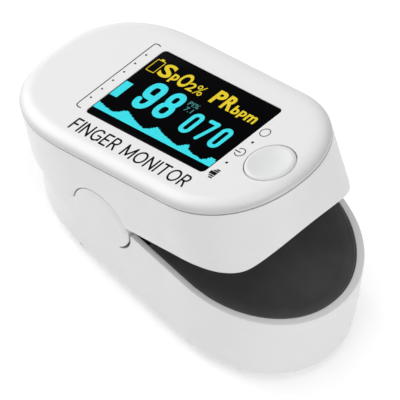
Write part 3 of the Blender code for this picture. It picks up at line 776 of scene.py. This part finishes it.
# The upper pad's edge as (inset, height over the sole), and the insets of the rings of its sole.
PAD_EDGE = ((1.8, 0.4), (1.88, 0.16), (2.1, 0.02))
SOLE_INSETS = (2.4, 3.0, 3.8, 4.8, 6.0, 7.4, 9.0, 11.0, 13.0, 15.0)
# The window's edge as (inset, depth under its face).
LENS_EDGE, LENS_CORNER = ((0.0, 0.06), (0.02, 0.02), (0.06, 0.0)), 0.8


def arch_height(y, arch):
    """Height of a round arch at y."""
    half, edge_z, middle_z = arch
    rise = middle_z - edge_z
    radius = (half ** 2 + rise ** 2) / (2 * rise)
    return middle_z - radius + np.sqrt(np.maximum(radius ** 2 - y ** 2, 0.0))


def upper_bottom(x, y):
    """Height of the upper shell's lower edge: band, arch over the finger, ear room, rear slope."""
    ear = SHUTTING @ Vector((EAR_X, 0.0, EAR_Z))
    low = np.interp(x, *zip(*BAND_EDGE))
    blend = np.logaddexp(low / ARCH_BLEND, arch_height(y, BAND_ARCH) / ARCH_BLEND) * ARCH_BLEND
    low = np.where(x > ARCH_FROM, blend, low)
    low = np.where(x < ear.x, line_height(REAR_EDGE, x), low)
    return np.maximum(low, disc_top(x, (ear.x, ear.z), EAR_RADIUS + EAR_ROOM))


def flare(z):
    """How far the band leans out at height z."""
    return BAND_FLARE * np.clip((BAND_HIGH - z) / (BAND_HIGH - BAND_LOW), 0.0, 1.0)


def upper_shell():
    """The band round the upper half in rings: its inside, its lower edge, its wall and the seam."""
    ear = SHUTTING @ Vector((EAR_X, 0.0, EAR_Z))
    at = stations(UPPER, over_disc((ear.x, ear.z), EAR_RADIUS + EAR_ROOM))
    low = upper_bottom(at[:, 0], at[:, 1])
    levels = [
        (UPPER_WALL, BAND_HIGH), (UPPER_WALL, low + UPPER_BEVEL), (UPPER_WALL - UPPER_BEVEL, low),
    ]
    for turn in quarter_turns(5):
        z = low + BAND_ROUND * (1 - math.cos(turn))
        levels.append((BAND_ROUND * (1 - math.sin(turn)) - flare(z), z))
    for step in range(1, UPPER_RISES + 1):
        z = low + BAND_ROUND + (BAND_HIGH - SEAM_ROUND - low - BAND_ROUND) * step / UPPER_RISES
        levels.append((-flare(z), z))
    for turn in quarter_turns(3, 1):
        inset = SEAM_ROUND * (1 - math.cos(turn))
        levels.append((inset, BAND_HIGH - SEAM_ROUND * (1 - math.sin(turn))))
    shape = mesh_of_rings(rings_of(UPPER, at, levels), closed=True)
    skin("upper_shell_skin", "upper_half", "white_shell", shape, "upper_shell")


def top_face():
    """The face: a rounded shoulder up to a flat, with holes for the window and the button."""
    low, top = BAND_HIGH + SEAM, TOP_HIGH.z
    levels = [(FACE_LIP, low), (SEAM_ROUND, low)]
    for turn in quarter_turns(3, 1):
        inset = SEAM_ROUND * (1 - math.sin(turn))
        levels.append((inset, low + SEAM_ROUND * (1 - math.cos(turn))))
    start = low + FACE_SIDE
    for turn in quarter_turns(FACE_STEPS):
        inset = FACE_SHOULDER * (1 - math.cos(turn))
        levels.append((inset, start + (top - start) * math.sin(turn)))
    levels.append((FACE_SHOULDER + FACE_FLAT, top))
    shape = mesh_of_rings(rings_of(UPPER, stations(UPPER), levels))
    window = lens_outline(-LENS_GAP, LENS_HOLE_CORNER)
    hole = circle(BUTTON_RADIUS + BUTTON_GAP, centre_of("power_button", shut=True), BUTTON_SIDES)
    cuts = [flat_prism(outline, *THROUGH_FACE) for outline in (window, hole)]
    skin("top_face_skin", "upper_half", "glossy_face", shape, "top_face_plate", cuts)


def button():
    """The key: a flange inside the face, a rolled edge and a shallow dish."""
    top, base = KEY_HIGH.z, KEY_LOW.z
    profile = [
        (BUTTON_INSIDE, base), (FLANGE_RADIUS, base), (FLANGE_RADIUS, base + FLANGE_SIDE),
        (BUTTON_RADIUS, base + FLANGE_TOP),
    ]
    for turn in quarter_turns(8):
        inset = BUTTON_EDGE * (1 - math.cos(turn))
        drop = BUTTON_EDGE * BUTTON_FLATTEN * (1 - math.sin(turn))
        profile.append((BUTTON_RADIUS - inset, top - drop))
    rim = BUTTON_RADIUS - BUTTON_EDGE - BUTTON_FLAT
    for step in range(DISH_RINGS):
        share = 1 - step / DISH_STEPS
        profile.append((rim * share, top - BUTTON_DISH * (1 - share ** 2)))
    x, y = centre_of("power_button", shut=True)
    middle = (x + BUTTON_SHIFT[0], y + BUTTON_SHIFT[1])
    shape, white = turned(profile, middle, BUTTON_SIDES), plain("button_white")
    skin("power_button_skin", "power_button", "glossy_face", shape, "power_button", material=white)


def upper_pad():
    """The cushion under the display half: an arched sole with a rounded edge."""
    top, edge = TOP_PAD_HIGH.z, TOP_PAD_LOW.z
    levels = [(PAD_EDGE[0][0], top)] + [(inset, edge + lift) for inset, lift in PAD_EDGE]
    levels += [(inset, edge) for inset in SOLE_INSETS]
    rings = rings_of(UPPER, stations(UPPER), levels)
    for one in rings:
        one[:, 0] = np.maximum(one[:, 0], TOP_PAD_LOW.x)
        arch = arch_height(one[:, 1], PAD_ARCH)
        one[:, 2] = np.minimum(top, np.maximum(one[:, 2], arch + one[:, 2] - edge))
    shape, cuts = mesh_of_rings(rings), [window_hole("emitter_window", THROUGH_PAD, shut=True)]
    skin("upper_finger_pad_skin", "upper_half", "black_rubber", shape, "upper_finger_pad", cuts)


def lens_outline(inset, corner):
    low, high = LENS_LOW, LENS_HIGH
    return rounded_box((low.x + inset, low.y + inset), (high.x - inset, high.y - inset), corner)


def lens():
    """The display window: a thin slab with a softened front edge."""
    levels = [(0.0, LENS_LOW.z)] + [(inset, LENS_HIGH.z - depth) for inset, depth in LENS_EDGE]
    rings = [[(x, y, z) for x, y in lens_outline(inset, LENS_CORNER)] for inset, z in levels]
    shape, black = mesh_of_rings(rings), window_black()
    skin("display_window_skin", "upper_half", "black_lens", shape, "display_lens", material=black)


# --- display readout and print ---

# Thickness of a printed mark and of a lit one.
INK, LIT = 0.02, 0.015
# Angles, in radians, that the round end of a line is drawn between.
END_FROM, END_TO = 0.3, 1.45


def round_end(point, along, normal, half, first, last):
    """Pairs of points, left and right, along a line's round end."""
    turns = np.linspace(first, last, 5)
    ends = [(point + along * (half * math.sin(a)), normal * (half * math.cos(a))) for a in turns]
    return [(middle + side, middle - side) for middle, side in ends]


def stroke(path, width, base, height, closed=False):
    """A flat line of even width with round ends, as (points, faces)."""
    half = width / 2
    spots = [np.array(point, float) for point in path]
    count = len(spots)
    pairs = []
    for index, point in enumerate(spots):
        before = spots[index - 1] if closed or index else spots[0]
        after = spots[(index + 1) % count] if closed or index < count - 1 else spots[-1]
        along = (after - before) / np.linalg.norm(after - before)
        normal = np.array((-along[1], along[0]))
        if not closed and index == 0:
            pairs += round_end(point, along, normal, half, -END_TO, -END_FROM)
        pairs.append((point + normal * half, point - normal * half))
        if not closed and index == count - 1:
            pairs += round_end(point, along, normal, half, END_FROM, END_TO)
    rings = []
    for a, b in pairs:
        rings.append([(*a, base), (*a, base + height), (*b, base + height), (*b, base)])
    return mesh_of_rings(rings, closed=closed)


def merged(shapes):
    """Several (points, faces) as one."""
    points, faces = [], []
    for some, these in shapes:
        start = len(points)
        points += list(some)
        faces += [tuple(index + start for index in face) for face in these]
    return points, faces


def written(text, low, high, base, height, bold=0.0):
    """Plain sans-serif text stretched to fill a box, as (points, faces)."""
    curve = bpy.data.curves.new("writing", "FONT")
    curve.body = text
    curve.extrude = 0.5
    curve.offset = bold
    curve.resolution_u = 4
    piece = put("writing", curve)
    graph = bpy.context.evaluated_depsgraph_get()
    mesh = bpy.data.meshes.new_from_object(piece.evaluated_get(graph))
    points = np.array([vertex.co for vertex in mesh.vertices], float)
    faces = [tuple(polygon.vertices) for polygon in mesh.polygons]
    bpy.data.objects.remove(piece, do_unlink=True)
    bpy.data.curves.remove(curve)
    bpy.data.meshes.remove(mesh)
    first, last = points.min(axis=0), points.max(axis=0)
    share = (points - first) / (last - first)
    points[:, 0] = low[0] + share[:, 0] * (high[0] - low[0])
    points[:, 1] = low[1] + share[:, 1] * (high[1] - low[1])
    points[:, 2] = base + share[:, 2] * height
    return [tuple(point) for point in points], faces


def in_box(path, low, high):
    """Path from a unit box into a real one."""
    return [(low[0] + x * (high[0] - low[0]), low[1] + y * (high[1] - low[1])) for x, y in path]


# Digits as paths in a unit box.
NINE = (
    (0.02, 0.24), (0.06, 0.12), (0.22, 0.03), (0.5, 0), (0.8, 0.06), (0.97, 0.2), (1, 0.4),
    (1, 0.62), (1, 0.82), (0.85, 0.96), (0.5, 1), (0.15, 0.96), (0, 0.82), (0, 0.64),
    (0.12, 0.5), (0.4, 0.46), (0.7, 0.46),
)
SEVEN = ((0, 1), (0.5, 1), (0.98, 1), (0.96, 0.88), (0.62, 0.3), (0.42, 0))


def ring_in_box(low, high, roundness):
    """Closed path round a box; roundness 1 makes its short sides half circles."""
    size = min(high[0] - low[0], high[1] - low[1])
    return rounded_box(low, high, size / 2 * roundness)


# Roundness of 0 and 8, and the height of 8's waist and how much slimmer its top is, as shares.
ZERO_ROUND, EIGHT_ROUND, EIGHT_WAIST, EIGHT_SLIM = 0.98, 0.95, 0.52, 0.07


def digit(which, low, high, width):
    """The strokes of a lit digit that fills a box."""
    base, half = LENS_HIGH.z, width / 2
    low, high = (low[0] + half, low[1] + half), (high[0] - half, high[1] - half)
    if which == "0":
        return [stroke(ring_in_box(low, high, ZERO_ROUND), width, base, LIT, True)]
    if which == "8":
        waist = low[1] + (high[1] - low[1]) * EIGHT_WAIST
        slim = (high[0] - low[0]) * EIGHT_SLIM
        lower = ring_in_box(low, (high[0], waist), EIGHT_ROUND)
        upper = ring_in_box((low[0] + slim, waist), (high[0] - slim, high[1]), EIGHT_ROUND)
        return [stroke(loop, width, base, LIT, True) for loop in (lower, upper)]
    path = smooth_path(NINE if which == "9" else SEVEN, 4)
    return [stroke(in_box(path, low, high), width, base, LIT)]


# Lit text of the display as (text, x from, x to, y from, y to, boldness).
LABELS = (
    ("S", -8.95, -6.3, 4.8, 8.0, 0.03), ("p", -6.0, -4.6, 4.55, 6.7, 0.03),
    ("O", -4.4, -2.0, 4.75, 7.95, 0.03), ("2", -1.9, -0.35, 4.8, 6.7, 0.02),
    ("%", -0.2, 1.7, 4.75, 7.0, 0.0), ("P", 3.85, 6.1, 4.75, 7.95, 0.035),
    ("R", 6.45, 8.8, 4.7, 7.95, 0.035), ("b", 9.0, 10.45, 4.7, 6.7, 0.03),
    ("p", 10.7, 12.05, 4.45, 6.3, 0.03), ("m", 12.3, 14.6, 4.65, 6.3, 0.025),
)
INDEX = (("PI%", 1.5, 3.9, 2.3, 3.3, 0.0), ("7.1", 1.9, 3.6, 1.0, 2.0, 0.0))
# Lit digits as (digit, x from, x to, y from, y to, stroke width).
DIGITS = (
    ("9", -7.3, -3.65, -2.95, 3.8, 1.2), ("8", -2.6, 0.95, -2.75, 3.8, 1.1),
    ("0", 4.4, 6.9, -3.05, 1.95, 0.8), ("7", 7.85, 10.35, -3.05, 1.9, 0.76),
    ("0", 11.35, 13.8, -3.05, 1.95, 0.8),
)
# The pulse curve as (x, y), its columns, the height of its steps and its foot.
PULSE = (
    (-11.9, -4.95), (-10.1, -5.35), (-7.85, -5.65), (-7.0, -5.1), (-6.4, -4.4), (-5.8, -4.15),
    (-4.2, -4.75), (-1.8, -5.5), (-0.4, -5.75), (0.5, -5.4), (1.05, -4.75), (1.55, -4.3),
    (3.7, -5.0), (6.55, -5.55), (7.75, -5.75), (8.45, -5.2), (9.3, -4.35), (10.0, -5.35),
    (11.3, -5.7), (13.7, -5.9), (14.3, -5.45), (14.9, -4.6), (15.8, -4.7), (16.25, -5.0),
)
PULSE_COLUMNS, PULSE_STEP, PULSE_BASE = 96, 0.16, -6.45
# The battery sign, its tip and the level bar, each as two corners.
CELL_SIGN, CELL_CORNER, CELL_LINE = ((-11.25, 4.8), (-9.45, 7.7)), 0.1, 0.14
CELL_TIP = ((-10.7, 7.7), (-10.0, 8.1))
LEVEL_BAR = ((-11.85, -2.8), (-10.15, 1.05))


def pulse_outline():
    """The pulse curve in whole display cells: a flat foot and a stepped top."""
    xs, ys = zip(*PULSE)
    edges = np.linspace(xs[0], xs[-1], PULSE_COLUMNS + 1)
    outline = [(xs[0], PULSE_BASE)]
    for start, end in zip(edges, edges[1:]):
        y = round(float(np.interp((start + end) / 2, xs, ys)) / PULSE_STEP) * PULSE_STEP
        outline += [(start, y), (end, y)]
    return outline + [(xs[-1], PULSE_BASE)]


def lit_text(rows):
    base = LENS_HIGH.z
    return [written(text, (x0, y0), (x1, y1), base, LIT, bold) for text, x0, x1, y0, y1, bold in rows]


def flat_block(corners, base, height):
    """A thin block on a base, over a box given by two corners."""
    (x0, y0), (x1, y1) = corners
    return block((x0, y0, base), (x1, y1, base + height))


def readout():
    """What the display shows: labels, numbers with the pulse curve, and the index."""
    base = LENS_HIGH.z
    yellow = glowing("lit_yellow", (0.86, 0.60, 0.01), (0.74, 0.62, 0.012), 0.95)
    cyan = glowing("lit_cyan", (0.02, 0.72, 0.86), (0.05, 0.80, 0.84), 0.95)
    dim = glowing("lit_dim", (0.06, 0.30, 0.28), (0.05, 0.26, 0.24), 0.9)

    words = lit_text(LABELS)
    words.append(stroke(rounded_box(*CELL_SIGN, CELL_CORNER, 3), CELL_LINE, base, LIT, True))
    words.append(flat_block(CELL_TIP, base, LIT))
    skin("readout_labels", "upper_half", "black_lens", merged(words), material=yellow)

    big = [flat_block(LEVEL_BAR, base, LIT)]
    for which, x0, x1, y0, y1, width in DIGITS:
        big += digit(which, (x0, y0), (x1, y1), width)
    big.append(flat_prism(pulse_outline(), base, base + LIT))
    skin("readout_numbers", "upper_half", "black_lens", merged(big), material=cyan)
    skin("readout_index", "upper_half", "black_lens", merged(lit_text(INDEX)), material=dim)


def bow(centre, radii, first, last, count=14):
    """Points along part of an ellipse, angles in degrees."""
    arc = circle(1.0, (0.0, 0.0), count, first, last, end=True)
    return [(centre[0] + x * radii[0], centre[1] + y * radii[1]) for x, y in arc]


# Capitals as a width, in heights of the line, and the strokes inside a unit box.
STEM = ((0, 0), (0, 1))
BOWL = [(0, 1), (0.45, 1)] + bow((0.5, 0.74), (0.5, 0.26), 80, -80) + [(0.45, 0.48), (0, 0.48)]
LETTERS = {
    "F": (0.46, (STEM, ((0, 1), (1, 1)), ((0, 0.5), (0.88, 0.5)))),
    "I": (0, (STEM,)),
    "N": (0.66, (STEM, ((0, 1), (1, 0)), ((1, 0), (1, 1)))),
    "G": (0.74, (bow((0.52, 0.5), (0.52, 0.5), 48, 318, 24), ((0.6, 0.48), (1, 0.48), (1, 0.1)))),
    "E": (0.48, (STEM,) + tuple(((0, y), (x, y)) for x, y in ((1, 1), (0.88, 0.5), (1, 0)))),
    "R": (0.52, (STEM, BOWL, ((0.5, 0.48), (1, 0)))),
    "M": (0.86, (STEM, ((0, 1), (0.5, 0.12)), ((0.5, 0.12), (1, 1)), ((1, 1), (1, 0)))),
    "O": (0.84, (bow((0.5, 0.5), (0.5, 0.5), 90, 450, 36),)),
    "T": (0.62, (((0.5, 0), (0.5, 1)), ((0, 1), (1, 1)))),
}
# The name, the x and y that it fills, the width of its lines, and a space as a letter's width.
NAME, NAME_X, NAME_Y = "FINGER MONITOR", (-11.45, 15.95), (-12.3, -9.85)
NAME_WIDTH, WORD_SPACE = 0.36, 0.16


def name_strokes(base):
    """The generic name in plain capitals, spaced to fill its line."""
    rise = NAME_Y[1] - NAME_Y[0]
    taken = sum(WORD_SPACE if letter == " " else LETTERS[letter][0] for letter in NAME) * rise
    gap = (NAME_X[1] - NAME_X[0] - taken) / (len(NAME) - 1)
    x, made = NAME_X[0], []
    for letter in NAME:
        share, paths = (WORD_SPACE, ()) if letter == " " else LETTERS[letter]
        low, high = (x, NAME_Y[0]), (x + share * rise, NAME_Y[1])
        made += [stroke(in_box(path, low, high), NAME_WIDTH, base, INK) for path in paths]
        x = high[0] + gap
    return made


ICON_X, BRACKET_X, DOT_X = 18.05, -14.7, -13.85
# The small dots between the icons, then the round icon and the power icon.
ICON_DOTS_Y, ICON_DOT = (1.54, -4.22), 0.24
ROUND_Y, POWER_Y, ICON_RADIUS = 4.36, -1.25, 0.9
ROUND_LINE, POWER_LINE, BAR_LINE, BRACKET_LINE = 0.15, 0.16, 0.2, 0.18
POWER_FROM, POWER_TO = -146, 138
POWER_BAR = ((-1.1, -1.27), (-0.5, -1.27), (0.05, -1.27))
# The row of dots: how many, the first one's y, the step and the radius.
DOTS, DOTS_Y, DOTS_STEP, DOTS_RADIUS = 6, 7.28, 2.48, 0.19
# The bracket round the dots as (x past BRACKET_X, y).
BRACKET = (
    (1.32, 10.1), (0.7, 10.25), (0.2, 10.1), (0.0, 9.6), (0.0, 5.0), (0.0, 0.0), (0.02, -5.0),
    (0.04, -7.1), (0.2, -7.65), (0.6, -7.85), (1.35, -7.9),
)
# Rows of the pulse icon as (x from, y from, y to); all end at the same x.
ICON_ROWS = (
    (17.95, -6.4, -6.12), (17.62, -6.76, -6.48), (17.28, -7.52, -6.84), (17.62, -7.92, -7.64),
    (17.95, -8.34, -8.06),
)
ICON_END = 18.74


def dot(x, y, radius):
    return turned(((radius, TOP_HIGH.z), (radius, TOP_HIGH.z + INK)), (x, y), 20)


def printing():
    """Black marks on the face: generic words, key icons, a bracket and a row of dots."""
    base = TOP_HIGH.z
    marks = name_strokes(base)
    marks += [dot(ICON_X, y, ICON_DOT) for y in ICON_DOTS_Y]
    marks += [flat_block(((x, y0), (ICON_END, y1)), base, INK) for x, y0, y1 in ICON_ROWS]
    skin("printed_words", "upper_half", "glossy_face", merged(marks), material=plain("printed_ink"))

    marks = [stroke(circle(ICON_RADIUS, (ICON_X, ROUND_Y), 40), ROUND_LINE, base, INK, True)]
    power = circle(ICON_RADIUS, (ICON_X, POWER_Y), 40, POWER_FROM, POWER_TO, end=True)
    marks.append(stroke(power, POWER_LINE, base, INK))
    marks.append(stroke([(ICON_X + x, y) for x, y in POWER_BAR], BAR_LINE, base, INK))
    bracket = smooth_path([(BRACKET_X + x, y) for x, y in BRACKET], 4)
    marks.append(stroke(bracket, BRACKET_LINE, base, INK))
    marks += [dot(DOT_X, DOTS_Y - DOTS_STEP * index, DOTS_RADIUS) for index in range(DOTS)]
    skin("printed_marks", "upper_half", "glossy_face", merged(marks), material=plain("grey_ink"))


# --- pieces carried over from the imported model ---

def dress_nodes():
    """Better materials for the nodes that keep their own shape, by the record's slot."""
    shades = {
        "grey_frame": plain("moulded_grey"), "black_rubber": plain("soft_rubber"),
        "black_foam": plain("black_foam"), "green_board": circuit_board(),
        "black_chip": plain("moulded_chip"), "amber_flex": flex_film(),
        "bright_steel": bright_steel(), "cell_jacket": cell_jacket(),
        "clear_window": clear_moulding(), "black_lens": plain("panel_black"),
        "white_shell": plain("moulded_white"), "glossy_face": face_white(),
    }
    for part in frame["record"]["subparts"]:
        node = NODES[part["node"]]
        node.data.materials.clear()
        node.data.materials.append(shades[part["material_slot"]])
    return shades


# --- camera, floor and light ---

LOOK_AT = Vector((5.77, -4.85, 22.27))
CAMERA_BACK = Vector((0.3526, -0.4232, 0.8348))
CAMERA_RIGHT = Vector((0.6958, 0.7150, 0.0685))
CAMERA_AWAY, CAMERA_LENS, CAMERA_SENSOR = 1200.0, 674.0, 36.0


def camera():
    """A long lens, so that the view is almost without perspective."""
    back = CAMERA_BACK.normalized()
    up = back.cross(CAMERA_RIGHT).normalized()
    right = up.cross(back)
    made = put("camera", bpy.data.cameras.new("camera"))
    made.data.lens = CAMERA_LENS
    made.data.sensor_width = CAMERA_SENSOR
    made.data.clip_start, made.data.clip_end = 0.05, 20.0
    turn = Matrix((right, up, back)).transposed().to_4x4()
    made.matrix_world = Matrix.Translation((LOOK_AT + back * CAMERA_AWAY) * MM) @ turn
    bpy.context.scene.camera = made


FLOOR_HALF, FLOOR_LOW, FLOOR_TOP, FLOOR_GLOW = 900.0, -8.0, -0.02, 0.2


def floor():
    """A white floor that glows a little, so that it goes over into the backdrop."""
    corners = (-FLOOR_HALF, -FLOOR_HALF, FLOOR_LOW), (FLOOR_HALF, FLOOR_HALF, FLOOR_TOP)
    made = solid("studio_floor", *block(*corners))
    shade = moulded("studio_floor", (0.96, 0.96, 0.96), 0.9, grain=0.5, depth=0.002, spread=0.003)
    shade.set(Emission_Color=(1.0, 1.0, 1.0, 1.0), Emission_Strength=FLOOR_GLOW)
    made.data.materials.append(shade.material)


SKY = 0.37
# Soft panels as a direction and a power. They all face the middle of the object.
PANELS = {
    "near_low": ((0.1, -0.95, 0.3), 0.62), "rear_low": ((-0.95, -0.1, 0.3), 2.0),
    "front_low": ((0.95, 0.1, 0.3), 1.12), "zenith": ((0.0, 0.0, 1.0), 1.25),
}
PANEL_TARGET = Vector((0.0, 0.0, 20.0))
PANEL_AWAY, PANEL_SIZE = 600.0, 400.0


def panel(name, direction, power):
    lamp = bpy.data.lights.new(name, "AREA")
    lamp.shape = "RECTANGLE"
    lamp.size, lamp.size_y = PANEL_SIZE * MM, PANEL_SIZE * MM
    lamp.energy = power
    made = put(name, lamp)
    place = (PANEL_TARGET + Vector(direction).normalized() * PANEL_AWAY) * MM
    made.location = place
    made.rotation_euler = (PANEL_TARGET * MM - place).to_track_quat("-Z", "Y").to_euler()


def light():
    """A plain white tent with soft panels."""
    world = bpy.data.worlds.new("studio")
    world.use_nodes = True
    backdrop = world.node_tree.nodes["Background"]
    backdrop.inputs["Color"].default_value = (1.0, 1.0, 1.0, 1.0)
    backdrop.inputs["Strength"].default_value = SKY
    bpy.context.scene.world = world
    bpy.context.scene.view_settings.view_transform = "Standard"
    for name, (direction, power) in PANELS.items():
        panel(name, direction, power)


SHADES = dress_nodes()
lower_shell()
battery_door()
lower_pad()
upper_shell()
top_face()
button()
upper_pad()
lens()
readout()
printing()
camera()
floor()
light()
